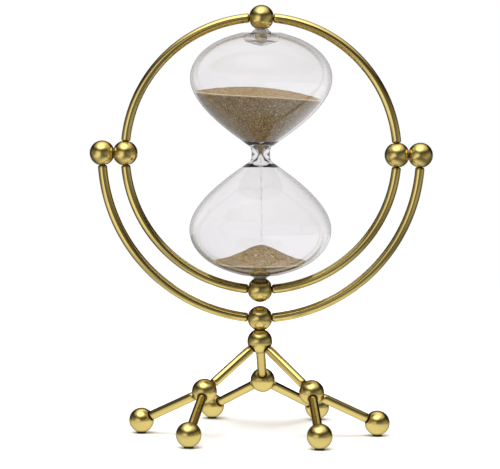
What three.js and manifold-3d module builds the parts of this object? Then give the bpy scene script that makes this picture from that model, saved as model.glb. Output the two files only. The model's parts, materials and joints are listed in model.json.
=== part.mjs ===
// Tabletop hourglass: a sealed two-bulb glass held between two pins in a brass
// ring. The ring turns over on two side pivots in a half-round cradle, which is
// carried by a tripod of rods and balls with six feet.
// Millimetres, +Z up, +X to the right, the back leg towards +Y. The origin is on
// the surface that the feet stand on, straight below the hub.

import * as THREE from "three";
import { mergeVertices } from "three/addons/utils/BufferGeometryUtils.js";
import Module from "manifold-3d";

const wasm = await Module();
wasm.setup();

// Driving dimensions
const BALL_R = 7; // every ball of the frame
const ROD_R = 2.6; // every rod of the frame
const GAP = 0.3; // clearance between pieces that are screwed or set together
const SEAT = 6.45; // from a ball's centre to the flat that a rod butts on
const SPIGOT_R = 1.5; // threaded end of a rod
const SPIGOT_L = 3.2;
const BORE_SPARE = 0.4; // a blind hole is this much deeper than its spigot

const RING_R = 76.2; // centre line of the ring
const PIVOT_PITCH = 13; // ring's side ball to the cradle's end ball
const PIVOT_SEAT = 6.15; // flats that face each other across the pivot washer
const JOURNAL_R = 2.05;
const JOURNAL_CLEARANCE = 0.1;
const JOURNAL_DEPTH = 3.6; // of the blind bore that the journal runs in
const WASHER = { outer: 2.9, inner: 2.2, thickness: 0.5 };

const CRADLE_END_X = RING_R + PIVOT_PITCH;
const CRADLE_DROP = 92.4; // pivot axis down to the cradle's bottom ball
const CRADLE_R = 91.5; // bend radius of the two cradle rods
const HUB_PITCH = 12.9; // cradle's bottom ball to the hub ball

const ROD_PITCH = 43.5; // ball to ball along every leg and foot rod
const LEG_SLOPE = THREE.MathUtils.degToRad(37.5); // below level
const FOOT_SPREAD = THREE.MathUtils.degToRad(45); // each foot from its leg's line
const FOOT_FLAT = 6.3; // foot ball's centre down to its flat
const PAD = { radius: 2.7, thickness: 0.9, gap: 0.15 };

const PIN_R = 2.1; // pins that clamp the glass
const PIN_SEAT = 6.1; // ring ball's centre to the flat under the cushion
const PIN_TIP = 63.3; // from the middle of the glass to the end of a pin
const PIN_SOCKET_DEPTH = 3.5;

// Glass, as distances from its axis and from its middle
const WALL = 1;
const BULB_R = 39.8;
const BULB_Z = 42.5; // height of the widest place
const SHOULDER_Z = 26; // the shoulder is an ellipse this tall above the widest place
const SHOULDER_END_R = 15; // where the shoulder gives way to the rolled lip
const NECK_R = 5.1;
const NECK_TOP = { r: 5.7, z: 3.6 }; // where the neck starts to open into the bulb
const FUNNEL_TOP = 6.5; // the thick glass round the orifice ends at this height
const ORIFICE_R = 0.9;
const LIP = { r: 10.5, z: 67.8 }; // crest of the rolled lip round each end
const DIMPLE_R = 8; // edge of the dimple's floor, at the foot of the lip
const DIMPLE_EDGE_Z = 63.6;
const DIMPLE_Z = 61.7; // bottom of the dimple in each end
const FILL_HOLE_R = 1.6;
const PLUG_R = 1.3;

const STREAM_R = 0.42;
const SAND_BOTTOM = 0.4; // the upper sand starts this far above the orifice's middle
const SAND_TOP = 32.6; // level of the upper sand's rim, on the axis
const SAND_TILT = THREE.MathUtils.degToRad(3.65); // it lies lower to the right
const SAND_DOME = 4.4; // rise of the upper sand's top from its rim to its middle
const SAND_RIM_R = 37;
const HEAP_PEAK = -51.2;
const HEAP_EDGE = -60.9; // the level that the heap's slope runs out to
const HEAP_R = 30; // where it would reach that level
const HEAP_SHARPNESS = 0.8; // 1 is a round cosine hill, less is a more pointed one

// Facets
const BALL_DETAIL = 2;
const ROD_SIDES = 10;
const RING_STEPS = 12;
const CRADLE_STEPS = 14;
const BORE_SIDES = 6;
const JOURNAL_SIDES = 16;
const GLASS_SIDES = 24;
const HEAP_STEPS = 8;

const UP = new THREE.Vector3(0, 0, 1);

// Materials
const metal = (color, roughness) => new THREE.MeshStandardMaterial({ color, roughness, metalness: 1 });
const plain = (color, roughness) => new THREE.MeshStandardMaterial({ color, roughness, metalness: 0 });
const brass = () => metal(0xa88f4c, 0.35);
const bareBrass = () => metal(0xc2a765, 0.3);
const silicone = () => plain(0xc9c4bc, 0.5);
const rubber = () => plain(0x1e1b18, 0.8);
const sand = () => plain(0x7a6244, 0.95);
const glass = () => {
  const look = plain(0xf2f0f5, 0.04);
  look.transparent = true;
  look.opacity = 0.3;
  return look;
};

// Solids
function solid(geometry) {
  const bare = geometry.clone();
  bare.deleteAttribute("normal");
  bare.deleteAttribute("uv");
  const merged = mergeVertices(bare, 1e-4);
  return new wasm.Manifold(
    new wasm.Mesh({
      numProp: 3,
      vertProperties: merged.attributes.position.array,
      triVerts: merged.index.array,
    }),
  );
}

function geometryOf(body) {
  const mesh = body.getMesh();
  const geometry = new THREE.BufferGeometry();
  geometry.setAttribute("position", new THREE.BufferAttribute(mesh.vertProperties, 3));
  geometry.setIndex(new THREE.BufferAttribute(mesh.triVerts, 1));
  geometry.computeVertexNormals();
  return geometry;
}

// Turned solid about +Z from [radius, height] pairs, listed from the bottom up.
function turned(profile, sides) {
  const points = profile.map(([r, z]) => new THREE.Vector2(r, z));
  return new THREE.LatheGeometry(points, sides).rotateX(Math.PI / 2);
}

// Turned solid about +Z, with its first end at a point and its length along an axis.
function turnedAt(profile, sides, at, axis) {
  const turn = new THREE.Quaternion().setFromUnitVectors(UP, axis);
  return turned(profile, sides).applyQuaternion(turn).translate(at.x, at.y, at.z);
}

// Everything that a joint removes from a ball: the cap beyond the flat and a blind bore.
function socket(at, axis, boreR, depth, sides = BORE_SIDES) {
  const reach = BALL_R * 0.9;
  const tool = [
    [0, -depth],
    [boreR, -depth],
    [boreR, 0],
    [reach, 0],
    [reach, BALL_R],
    [0, BALL_R],
  ];
  return solid(turnedAt(tool, sides, at, axis));
}

// Flat without a bore, for a foot's pad.
function flat(distance) {
  const tool = [
    [0, 0],
    [BALL_R, 0],
    [BALL_R, BALL_R],
    [0, BALL_R],
  ];
  const down = new THREE.Vector3(0, 0, -1);
  return solid(turnedAt(tool, BORE_SIDES, down.clone().multiplyScalar(distance), down));
}

const spigotSocket = (axis, seat = SEAT) =>
  socket(axis.clone().multiplyScalar(seat), axis, SPIGOT_R + GAP, SPIGOT_L + BORE_SPARE);

function ball(cuts) {
  const whole = solid(new THREE.IcosahedronGeometry(BALL_R, BALL_DETAIL));
  return geometryOf(cuts.reduce((body, cut) => body.subtract(cut), whole));
}

// Straight rod along +Z, its middle at the origin, for two balls one pitch apart.
function straightRod(pitch) {
  const shoulder = pitch / 2 - SEAT - GAP;
  const end = shoulder + GAP + SPIGOT_L;
  const profile = [
    [0, -end],
    [SPIGOT_R, -end],
    [SPIGOT_R, -shoulder],
    [ROD_R, -shoulder],
    [ROD_R, shoulder],
    [SPIGOT_R, shoulder],
    [SPIGOT_R, end],
    [0, end],
  ];
  return turned(profile, ROD_SIDES);
}

// Bent rods lie in the XZ plane, on an arc about a centre from one ball to the next.
class Arc extends THREE.Curve {
  constructor(centre, radius, from, to) {
    super();
    Object.assign(this, { centre, radius, from, to });
  }
  getPoint(t, target = new THREE.Vector3()) {
    const angle = THREE.MathUtils.lerp(this.from, this.to, t);
    return target
      .set(Math.cos(angle), 0, Math.sin(angle))
      .multiplyScalar(this.radius)
      .add(this.centre);
  }
}

const arcAngle = (chord, radius) => 2 * Math.asin(chord / (2 * radius));

function bentRod(centre, radius, from, to, steps) {
  const trim = arcAngle(SEAT + GAP, radius);
  const path = new Arc(centre, radius, from + trim, to - trim);
  const section = new THREE.Shape().absarc(0, 0, ROD_R, 0, 2 * Math.PI);
  const options = { steps, extrudePath: path, bevelEnabled: false, curveSegments: ROD_SIDES / 2 };
  let body = solid(new THREE.ExtrudeGeometry(section, options));
  const sunk = 1; // the spigot starts this far inside the rod
  const spigot = [
    [0, -sunk],
    [SPIGOT_R, -sunk],
    [SPIGOT_R, GAP + SPIGOT_L],
    [0, GAP + SPIGOT_L],
  ];
  const ends = [
    [path.getPoint(0), path.getTangent(0).negate()],
    [path.getPoint(1), path.getTangent(1)],
  ];
  for (const [at, axis] of ends) body = body.add(solid(turnedAt(spigot, BORE_SIDES, at, axis)));
  return geometryOf(body);
}

// Socket for a bent rod in a ball: the flat is square to the arc where the rod ends.
function bentSocket(centre, radius, ballAngle, direction) {
  const onArc = (angle) => new Arc(centre, radius, angle, angle).getPoint(0);
  const angle = ballAngle + direction * arcAngle(SEAT, radius);
  const axis = new THREE.Vector3(-Math.sin(angle), 0, Math.cos(angle)).multiplyScalar(direction);
  const at = onArc(angle).sub(onArc(ballAngle));
  return socket(at, axis, SPIGOT_R + GAP, SPIGOT_L + BORE_SPARE);
}

// Scene graph
const group = new THREE.Group();

function place(parent, name, geometry, material, position = new THREE.Vector3()) {
  const mesh = new THREE.Mesh(geometry, material);
  mesh.name = name;
  mesh.position.copy(position);
  parent.add(mesh);
  return mesh;
}

const ring = new THREE.Group();
const stand = new THREE.Group();
group.add(ring, stand);

// Stand heights below the pivot axis, which is the height zero of both groups
const hubZ = -(CRADLE_DROP + HUB_PITCH);
const kneeZ = hubZ - ROD_PITCH * Math.sin(LEG_SLOPE);
const footZ = kneeZ - ROD_PITCH * Math.sin(LEG_SLOPE) * Math.cos(FOOT_SPREAD);
const floorZ = footZ - FOOT_FLAT - PAD.gap - PAD.thickness;
ring.position.z = -floorZ;
stand.position.z = -floorZ;

// Ring: four balls and four quarter rods
function ringBall(third) {
  const [ahead, behind] = [1, -1].map((way) => bentSocket(new THREE.Vector3(), RING_R, 0, way));
  return ball([ahead, behind, third]);
}

const AXIS_X = new THREE.Vector3(1, 0, 0);
const pinSocket = socket(
  AXIS_X.clone().multiplyScalar(-PIN_SEAT),
  AXIS_X.clone().negate(),
  PIN_R + GAP,
  PIN_SOCKET_DEPTH,
  ROD_SIDES,
);
const journalSocket = socket(
  AXIS_X.clone().multiplyScalar(PIVOT_SEAT),
  AXIS_X,
  JOURNAL_R + JOURNAL_CLEARANCE,
  JOURNAL_DEPTH,
  JOURNAL_SIDES,
);
const clampBall = ringBall(pinSocket);
const sideBall = ringBall(journalSocket);
const ringRod = bentRod(new THREE.Vector3(), RING_R, 0, Math.PI / 2, RING_STEPS);

const quarters = [
  { ball: "right", shape: sideBall, rod: "upper_right" },
  { ball: "top", shape: clampBall, rod: "upper_left" },
  { ball: "left", shape: sideBall, rod: "lower_left" },
  { ball: "bottom", shape: clampBall, rod: "lower_right" },
];
quarters.forEach((quarter, index) => {
  const angle = (index * Math.PI) / 2;
  const at = new THREE.Vector3(Math.cos(angle), 0, Math.sin(angle)).multiplyScalar(RING_R);
  place(ring, `ring_ball_${quarter.ball}`, quarter.shape, brass(), at).rotation.y = -angle;
  place(ring, `ring_tube_${quarter.rod}`, ringRod, brass()).rotation.y = -angle;
});

// Outer face of the upper half, as a path of (radius, height): up from the neck, over
// the bulb and its rolled lip, and down to the axis at the bottom of the dimple
function bulbOutline() {
  const shoulderEnd = Math.acos(SHOULDER_END_R / BULB_R);
  const lipInside = { r: LIP.r - 0.9, z: LIP.z - 1 };
  const outline = new THREE.Path();
  outline.moveTo(NECK_R, 0);
  outline.quadraticCurveTo(NECK_R, 2, NECK_TOP.r, NECK_TOP.z);
  outline.bezierCurveTo(6.6, 5.6, BULB_R, BULB_Z - 18.3, BULB_R, BULB_Z);
  outline.absellipse(0, BULB_Z, BULB_R, SHOULDER_Z, 0, shoulderEnd);
  outline.quadraticCurveTo(LIP.r + 0.7, LIP.z, LIP.r, LIP.z);
  outline.quadraticCurveTo(LIP.r - 0.8, LIP.z, lipInside.r, lipInside.z);
  outline.quadraticCurveTo(9.4, 64, DIMPLE_R, DIMPLE_EDGE_Z);
  outline.bezierCurveTo(5.5, 62.9, 3, DIMPLE_Z, 0, DIMPLE_Z);
  return outline;
}

function sampled(path, counts) {
  const points = [path.curves[0].getPoint(0)];
  path.curves.forEach((curve, index) => {
    for (let i = 1; i <= counts[index]; i++) points.push(curve.getPoint(i / counts[index]));
  });
  return points;
}

// The same outline moved inwards by a distance, from the place where the wall begins
function offsetInwards(points, distance) {
  return points.map((point, index) => {
    const before = points[Math.max(index - 1, 0)];
    const after = points[Math.min(index + 1, points.length - 1)];
    const along = after.clone().sub(before).normalize();
    return new THREE.Vector2(point.x - along.y * distance, point.y + along.x * distance);
  });
}

const outer = sampled(bulbOutline(), [2, 10, 7, 2, 1, 2, 3]);

// Inner outline: a funnel that opens from the orifice into a nearly flat floor, then the
// wall's inner face. With a clearance, the outline of whatever fills it that loosely.
function innerOutline(clearance) {
  const inset = offsetInwards(outer, WALL + clearance);
  const wall = inset.filter((point, index) => outer[index].y > FUNNEL_TOP);
  wall[wall.length - 1].x = 0;
  const throat = ORIFICE_R - clearance;
  const funnel = new THREE.CubicBezierCurve(
    new THREE.Vector2(throat, 0),
    new THREE.Vector2(throat + 0.5, 1.2),
    new THREE.Vector2(2.6, 5.2 + clearance),
    wall[0],
  );
  return [...funnel.getPoints(5).slice(0, -1), ...wall];
}

const pairs = (points, sign = 1) => points.map((p) => [Math.max(p.x, 0), sign * p.y]);

// A half outline and its mirror image below, closed on the axis at both ends
function bothBulbs(half) {
  const lower = pairs(half, -1).reverse();
  return [...lower, ...pairs(half).slice(1)];
}

function glassVessel() {
  const cavity = solid(turned(bothBulbs(innerOutline(0)), GLASS_SIDES));
  const hole = [
    [0, DIMPLE_Z - 2 * WALL],
    [FILL_HOLE_R, DIMPLE_Z - 2 * WALL],
    [FILL_HOLE_R, DIMPLE_Z + WALL],
    [0, DIMPLE_Z + WALL],
  ];
  const body = solid(turned(bothBulbs(outer), GLASS_SIDES));
  return geometryOf(body.subtract(cavity).subtract(solid(turned(hole, BORE_SIDES))));
}
place(ring, "glass_vessel", glassVessel(), glass());

// Stopper: a shank through the dimple's wall with a head inside the dimple
const plug = [
  [0, DIMPLE_Z - WALL],
  [PLUG_R, DIMPLE_Z - WALL],
  [PLUG_R, DIMPLE_Z],
  [0, DIMPLE_Z],
];
place(ring, "glass_plug", turned(plug, BORE_SIDES), glass());

// Sand, cut from the space inside the glass
const sandSpace = solid(turned(bothBulbs(innerOutline(GAP)), GLASS_SIDES));

function upperSand() {
  const reach = 60; // beyond the bulb on every side
  const dome = new THREE.QuadraticBezierCurve(
    new THREE.Vector2(SAND_RIM_R, 0),
    new THREE.Vector2(SAND_RIM_R / 2, SAND_DOME),
    new THREE.Vector2(0, SAND_DOME),
  );
  const profile = [[0, -reach], [reach, -reach], [reach, 0], ...pairs(dome.getPoints(5))];
  const level = turned(profile, GLASS_SIDES).rotateY(SAND_TILT).translate(0, 0, SAND_TOP);
  const above = [
    [0, SAND_BOTTOM],
    [reach, SAND_BOTTOM],
    [reach, reach],
    [0, reach],
  ];
  return geometryOf(sandSpace.intersect(solid(level)).intersect(solid(turned(above, BORE_SIDES))));
}

function heapHeight(radius) {
  const share = (radius / HEAP_R) ** HEAP_SHARPNESS;
  return THREE.MathUtils.lerp(HEAP_EDGE, HEAP_PEAK, 0.5 + 0.5 * Math.cos(Math.PI * share));
}

function lowerSand() {
  const below = -DIMPLE_Z - 10;
  const slope = [];
  for (let radius = HEAP_R; radius >= 0; radius -= HEAP_R / HEAP_STEPS) {
    slope.push([radius, heapHeight(radius)]);
  }
  const profile = [[0, below], [BULB_R, below], [BULB_R, HEAP_EDGE], ...slope];
  return geometryOf(sandSpace.intersect(solid(turned(profile, GLASS_SIDES))));
}

place(ring, "upper_sand", upperSand(), sand());
place(ring, "lower_sand", lowerSand(), sand());

const streamTop = SAND_BOTTOM - GAP;
const stream = [
  [0, HEAP_PEAK + GAP],
  [STREAM_R, HEAP_PEAK + GAP],
  [STREAM_R, streamTop],
  [0, streamTop],
];
place(ring, "sand_stream", turned(stream, BORE_SIDES), sand());

// Pin and silicone boot at one end of the glass, drawn for the upper end
const pinRoot = RING_R - PIN_SEAT + PIN_SOCKET_DEPTH - BORE_SPARE;
const pin = [
  [0, PIN_TIP],
  [PIN_R - 0.5, PIN_TIP],
  [PIN_R, PIN_TIP + 0.5],
  [PIN_R, pinRoot],
  [0, pinRoot],
];
const bootBore = PIN_R + 0.15;
const cushionTop = RING_R - PIN_SEAT - 0.1;
const cushion = [
  [0, DIMPLE_Z + 0.4],
  [1.6, DIMPLE_Z + 0.5],
  [3.1, DIMPLE_Z + 1.6],
  [3.4, DIMPLE_Z + 4.7],
  [5.4, DIMPLE_Z + 5],
  [5.6, DIMPLE_Z + 6.4],
  [3.2, cushionTop],
  [bootBore, cushionTop],
  [bootBore, PIN_TIP - 0.2],
  [0, PIN_TIP - 0.2],
];
for (const [name, turn] of [["top", 0], ["bottom", Math.PI]]) {
  place(ring, `${name}_pin`, turned(pin, ROD_SIDES), bareBrass()).rotation.x = turn;
  place(ring, `${name}_cushion`, turned(cushion, ROD_SIDES), silicone()).rotation.x = turn;
}

// Cradle: two end balls, two bent rods and a bottom ball
const cradleEnd = new THREE.Vector3(CRADLE_END_X, 0, 0);
const cradleBottom = new THREE.Vector3(0, 0, -CRADLE_DROP);

function cradleCentre() {
  const middle = cradleEnd.clone().add(cradleBottom).multiplyScalar(0.5);
  const chord = cradleEnd.clone().sub(cradleBottom);
  const inwards = new THREE.Vector3(-chord.z, 0, chord.x).normalize();
  const rise = Math.sqrt(CRADLE_R ** 2 - chord.lengthSq() / 4);
  return middle.addScaledVector(inwards, rise);
}

const bend = cradleCentre();
const angleFrom = (centre, point) => Math.atan2(point.z - centre.z, point.x - centre.x);
const bottomAngle = angleFrom(bend, cradleBottom);
const endAngle = angleFrom(bend, cradleEnd);
const cradleRod = bentRod(bend, CRADLE_R, bottomAngle, endAngle, CRADLE_STEPS);

const inward = AXIS_X.clone().negate();
const pivotThread = socket(
  inward.clone().multiplyScalar(PIVOT_SEAT),
  inward,
  SPIGOT_R + GAP,
  SPIGOT_L + BORE_SPARE,
);
const endBall = ball([bentSocket(bend, CRADLE_R, endAngle, -1), pivotThread]);

// Pivot pin along +X: a journal that runs in the ring's ball, a thread in the cradle's ball
const journalEnd = RING_R + PIVOT_SEAT - JOURNAL_DEPTH + BORE_SPARE;
const threadStart = CRADLE_END_X - PIVOT_SEAT - 0.1;
const pivotPin = [
  [0, journalEnd],
  [JOURNAL_R, journalEnd],
  [JOURNAL_R, threadStart],
  [SPIGOT_R, threadStart],
  [SPIGOT_R, threadStart + SPIGOT_L],
  [0, threadStart + SPIGOT_L],
];
const washerStart = RING_R + PIVOT_PITCH / 2 - WASHER.thickness / 2;
const washer = [
  [WASHER.inner, washerStart],
  [WASHER.outer, washerStart],
  [WASHER.outer, washerStart + WASHER.thickness],
  [WASHER.inner, washerStart + WASHER.thickness],
  [WASHER.inner, washerStart],
];
const alongX = (profile) => turned(profile, JOURNAL_SIDES).rotateY(Math.PI / 2);

for (const [side, turn] of [["right", 0], ["left", Math.PI]]) {
  const half = new THREE.Group();
  half.rotation.z = turn;
  stand.add(half);
  place(half, `cradle_ball_${side}`, endBall, brass(), cradleEnd);
  place(half, `cradle_tube_${side}`, cradleRod, brass());
  place(half, `pivot_pin_${side}`, alongX(pivotPin), bareBrass());
  place(half, `pivot_washer_${side}`, alongX(washer), bareBrass());
}

// Right-hand socket of the bottom ball, and its mirror image made by a half turn
const rightSocket = bentSocket(bend, CRADLE_R, bottomAngle, 1);
const leftSocket = rightSocket.rotate([0, 0, 180]);
const studSeat = (HUB_PITCH - GAP) / 2;
const bottomBall = ball([rightSocket, leftSocket, spigotSocket(UP.clone().negate(), studSeat)]);
place(stand, "cradle_ball_bottom", bottomBall, brass(), cradleBottom);

const studHalf = HUB_PITCH / 2 - studSeat + SPIGOT_L;
const stud = [
  [0, -studHalf],
  [SPIGOT_R, -studHalf],
  [SPIGOT_R, studHalf],
  [0, studHalf],
];
const studAt = new THREE.Vector3(0, 0, hubZ + HUB_PITCH / 2);
place(stand, "coupling_stud", turned(stud, BORE_SIDES), bareBrass(), studAt);

// Tripod. A leg and its two feet lie in one sloping plane.
const hub = new THREE.Vector3(0, 0, hubZ);
const legs = [
  { name: "back", azimuth: 90, feet: ["left", "right"] },
  { name: "front_left", azimuth: 210, feet: ["inner", "outer"] },
  { name: "front_right", azimuth: 330, feet: ["outer", "inner"] },
];

function legFrame(azimuth) {
  const angle = THREE.MathUtils.degToRad(azimuth);
  const down = new THREE.Vector3(
    Math.cos(angle) * Math.cos(LEG_SLOPE),
    Math.sin(angle) * Math.cos(LEG_SLOPE),
    -Math.sin(LEG_SLOPE),
  );
  const aside = new THREE.Vector3(-Math.sin(angle), Math.cos(angle), 0);
  const foot = (sign) =>
    down
      .clone()
      .multiplyScalar(Math.cos(FOOT_SPREAD))
      .addScaledVector(aside, sign * Math.sin(FOOT_SPREAD));
  return { down, feet: [foot(1), foot(-1)] };
}

const rodShape = straightRod(ROD_PITCH);

function placeRod(name, from, direction) {
  const middle = from.clone().addScaledVector(direction, ROD_PITCH / 2);
  place(stand, name, rodShape, brass(), middle).quaternion.setFromUnitVectors(UP, direction);
  return from.clone().addScaledVector(direction, ROD_PITCH);
}

const pad = [
  [0, -PAD.thickness],
  [PAD.radius, -PAD.thickness],
  [PAD.radius, 0],
  [0, 0],
];
const padShape = turned(pad, ROD_SIDES);
const padDrop = new THREE.Vector3(0, 0, -FOOT_FLAT - PAD.gap);
const hubCuts = [spigotSocket(UP.clone(), studSeat)];

for (const leg of legs) {
  const frame = legFrame(leg.azimuth);
  hubCuts.push(spigotSocket(frame.down));
  const knee = placeRod(`leg_rod_${leg.name}`, hub, frame.down);
  const kneeCuts = [frame.down.clone().negate(), ...frame.feet].map((axis) => spigotSocket(axis));
  place(stand, `knee_ball_${leg.name}`, ball(kneeCuts), brass(), knee);
  leg.feet.forEach((side, index) => {
    const direction = frame.feet[index];
    const name = `${leg.name}_${side}`;
    const foot = placeRod(`foot_rod_${name}`, knee, direction);
    const footCuts = [spigotSocket(direction.clone().negate()), flat(FOOT_FLAT)];
    place(stand, `foot_ball_${name}`, ball(footCuts), brass(), foot);
    place(stand, `foot_pad_${name}`, padShape, rubber(), foot.clone().add(padDrop));
  });
}
place(stand, "hub_ball", ball(hubCuts), brass(), hub);

export default group;
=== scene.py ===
"""Looks of the hourglass: satin brass frame, blown glass, brown sand, silicone and rubber, built
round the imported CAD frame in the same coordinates, in metres."""

import json
import math
import random

import bmesh
import bpy
import numpy as np
from mathutils import Matrix, Quaternion, Vector, noise


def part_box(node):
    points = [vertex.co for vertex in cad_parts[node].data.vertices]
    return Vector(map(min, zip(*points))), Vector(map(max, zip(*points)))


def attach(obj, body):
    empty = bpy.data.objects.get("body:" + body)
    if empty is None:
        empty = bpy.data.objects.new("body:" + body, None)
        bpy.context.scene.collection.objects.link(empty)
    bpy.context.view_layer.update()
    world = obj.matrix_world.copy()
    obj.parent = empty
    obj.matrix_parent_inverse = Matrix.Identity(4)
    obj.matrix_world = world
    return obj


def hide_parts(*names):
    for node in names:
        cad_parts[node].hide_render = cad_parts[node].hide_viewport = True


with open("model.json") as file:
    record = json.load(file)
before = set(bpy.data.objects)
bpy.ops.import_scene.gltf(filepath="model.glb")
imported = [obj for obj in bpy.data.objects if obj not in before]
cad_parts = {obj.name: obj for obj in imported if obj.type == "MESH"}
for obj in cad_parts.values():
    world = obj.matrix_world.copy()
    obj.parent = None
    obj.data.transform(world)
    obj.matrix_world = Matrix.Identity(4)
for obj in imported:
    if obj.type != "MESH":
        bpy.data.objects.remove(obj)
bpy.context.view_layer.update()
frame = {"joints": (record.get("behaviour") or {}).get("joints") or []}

MM = 0.001
UP = Vector((0, 0, 1))
PIVOT = Vector(frame["joints"][0]["pos_m"])

# Frame sizes, the same driving dimensions as the CAD model
BALL_R = 7 * MM
ROD_R = 2.6 * MM
SEAT = 6.45 * MM
GAP = 0.3 * MM
SPIGOT_R = 1.5 * MM
SPIGOT_L = 3.2 * MM
RING_R = 76.2 * MM
PIVOT_PITCH = 13 * MM
PIVOT_SEAT = 6.15 * MM
JOURNAL_R = 2.05 * MM
JOURNAL_L = 3.2 * MM
JOURNAL_CLEARANCE = 0.1 * MM
BORE_SPARE = 0.4 * MM
WASHER_R = 2.9 * MM
WASHER_BORE_R = 2.2 * MM
WASHER_T = 0.5 * MM
CRADLE_X = RING_R + PIVOT_PITCH
CRADLE_DROP = 92.4 * MM
CRADLE_R = 91.5 * MM
HUB_PITCH = 12.9 * MM
ROD_PITCH = 43.5 * MM
LEG_SLOPE = math.radians(37.5)
FOOT_SPREAD = math.radians(45)
FOOT_FLAT = 6.3 * MM
PAD_R = 2.7 * MM
PIN_R = 2.1 * MM
PIN_SEAT = 6.1 * MM
PIN_TIP = 63.3 * MM
PIN_SOCKET_L = 3.5 * MM
STUD_SEAT = (HUB_PITCH - GAP) / 2

# Glass
WALL = 1.0 * MM
BULB_R = 39.8 * MM
BULB_Z = 42.5 * MM
SHOULDER_Z = 26 * MM
NECK_R = 5.1 * MM
ORIFICE_R = 0.9 * MM
FUNNEL_TOP = 6.5 * MM
DIMPLE_Z = 61.7 * MM
FILL_HOLE_R = 1.6 * MM
WAIST_REACH = 2.4 * MM
GLASS_SEGMENTS = 128

# Sand
SAND_CLEARANCE = 0.12 * MM
SAND_TOP = 32.6 * MM
SAND_TILT = math.radians(3.65)
SAND_DOME = 4.4 * MM
SAND_LIP = 0.6 * MM
HEAP_PEAK = -51.2 * MM
HEAP_EDGE = -60.9 * MM
HEAP_SHIFT = 1 * MM
HEAP_R = 30 * MM
GRAIN_R = 0.13 * MM
GRAIN_COUNT = 230
SEED = 7


# ---------------------------------------------------------------- mesh building
def mesh_from(name, verts, faces, sharp_degrees=30):
    mesh = bpy.data.meshes.new(name)
    mesh.from_pydata([tuple(v) for v in verts], [], faces)
    mesh.validate()
    bm = bmesh.new()
    bm.from_mesh(mesh)
    bmesh.ops.recalc_face_normals(bm, faces=bm.faces)
    bm.to_mesh(mesh)
    bm.free()
    finish_shading(mesh, sharp_degrees)
    return mesh


def finish_shading(mesh, sharp_degrees):
    mesh.polygons.foreach_set("use_smooth", [True] * len(mesh.polygons))
    mesh.set_sharp_from_angle(angle=math.radians(sharp_degrees))


def skin(rings, closed=False, start_pole=None, end_pole=None):
    """Vertices and faces of a surface through rings of points. Its ends are closed by poles, or
    joined to each other."""
    count, sides = len(rings), len(rings[0])
    verts = [point for ring in rings for point in ring]
    faces = []
    for i in range(count if closed else count - 1):
        a, b = i * sides, (i + 1) % count * sides
        for j in range(sides):
            k = (j + 1) % sides
            faces.append((a + j, a + k, b + k, b + j))
    for pole, base in ((start_pole, 0), (end_pole, (count - 1) * sides)):
        if pole is not None:
            verts.append(pole)
            faces += [(base + j, base + (j + 1) % sides, len(verts) - 1) for j in range(sides)]
    return verts, faces


def circle(radius, height, sides):
    angles = [2 * math.pi * j / sides for j in range(sides)]
    return [Vector((radius * math.cos(a), radius * math.sin(a), height)) for a in angles]


def turned(profile, sides):
    """A turned solid about Z from (radius, height) pairs. Ends on the axis become poles. Without them
    the outline closes on itself."""
    tiny = 1e-7
    rings = [circle(r, z, sides) for r, z in profile if r > tiny]
    on_axis = [Vector((0, 0, z)) for r, z in profile if r <= tiny]
    if not on_axis:
        return skin(rings, closed=True)
    return skin(rings, start_pole=on_axis[0], end_pole=on_axis[-1])


def moved(verts, matrix):
    return [matrix @ Vector(v) for v in verts]


def turn_to(axis, at=(0, 0, 0)):
    return Matrix.Translation(at) @ UP.rotation_difference(Vector(axis)).to_matrix().to_4x4()


def bezier(p0, p1, p2, p3, count):
    """Points of a cubic curve after its first one."""
    points = []
    for i in range(1, count + 1):
        t = i / count
        s = 1 - t
        weights = (s**3, 3 * s * s * t, 3 * s * t * t, t**3)
        points.append(tuple(sum(w * p[k] for w, p in zip(weights, (p0, p1, p2, p3))) for k in (0, 1)))
    return points


def quadratic(p0, p1, p2, count):
    third = 2 / 3
    a = tuple(p0[k] + third * (p1[k] - p0[k]) for k in (0, 1))
    b = tuple(p2[k] + third * (p1[k] - p2[k]) for k in (0, 1))
    return bezier(p0, a, b, p2, count)


# ---------------------------------------------------------------- placing pieces
def show(mesh, node, body, material):
    piece = bpy.data.objects.new(node + "_visual", mesh)
    bpy.context.scene.collection.objects.link(piece)
    piece.data.materials.append(material)
    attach(piece, body)
    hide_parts(node)


def paint(mesh, name, values):
    attribute = mesh.attributes.new(name, "FLOAT", "POINT")
    attribute.data.foreach_set("value", np.asarray(values, np.float32))


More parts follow.
